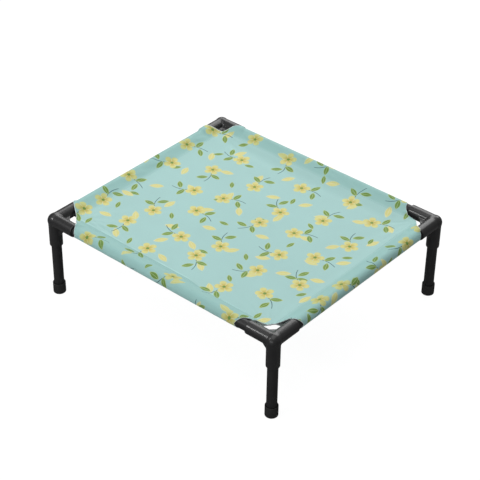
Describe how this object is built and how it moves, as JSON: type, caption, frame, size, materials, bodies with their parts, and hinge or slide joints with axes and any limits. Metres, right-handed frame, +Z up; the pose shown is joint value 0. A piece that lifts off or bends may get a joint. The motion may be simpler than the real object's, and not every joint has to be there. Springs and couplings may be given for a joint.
{
  "type": "raised dog cot",
  "caption": "Rectangular raised dog cot: a taut cloth sling sleeved over tube rails, held by black three-way corner connectors on push-in legs with cup feet.",
  "frame": {"origin": "on the floor, under the middle of the cot", "axes": "+X along the length, +Y along the depth towards the back, +Z up"},
  "size_m": [0.624, 0.554, 0.2],
  "materials": {
    "connector_plastic": "black moulded plastic with a satin gloss",
    "tube_steel": "matt black powder coat",
    "foot_rubber": "dull black rubber",
    "sling_cloth": "pale aqua woven cloth with a printed pattern"
  },
  "bodies": {
    "frame": {"front_left_connector": "connector_plastic", "front_right_connector": "connector_plastic", "back_left_connector": "connector_plastic", "back_right_connector": "connector_plastic", "front_rail": "tube_steel", "back_rail": "tube_steel", "left_rail": "tube_steel", "right_rail": "tube_steel", "sling_sheet": "sling_cloth", "front_sleeve": "sling_cloth", "back_sleeve": "sling_cloth", "left_sleeve": "sling_cloth", "right_sleeve": "sling_cloth"},
    "leg_front_left": {"front_left_leg": "tube_steel", "front_left_foot": "foot_rubber"},
    "leg_front_right": {"front_right_leg": "tube_steel", "front_right_foot": "foot_rubber"},
    "leg_back_left": {"back_left_leg": "tube_steel", "back_left_foot": "foot_rubber"},
    "leg_back_right": {"back_right_leg": "tube_steel", "back_right_foot": "foot_rubber"}
  },
  "joints": [
    {"name": "front_left_leg_pull", "type": "slide", "parent": "frame", "child": "leg_front_left", "axis": [0, 0, -1], "range_m": [0, 0.05]},
    {"name": "front_right_leg_pull", "type": "slide", "parent": "frame", "child": "leg_front_right", "axis": [0, 0, -1], "range_m": [0, 0.05]},
    {"name": "back_left_leg_pull", "type": "slide", "parent": "frame", "child": "leg_back_left", "axis": [0, 0, -1], "range_m": [0, 0.05]},
    {"name": "back_right_leg_pull", "type": "slide", "parent": "frame", "child": "leg_back_right", "axis": [0, 0, -1], "range_m": [0, 0.05]}
  ]
}
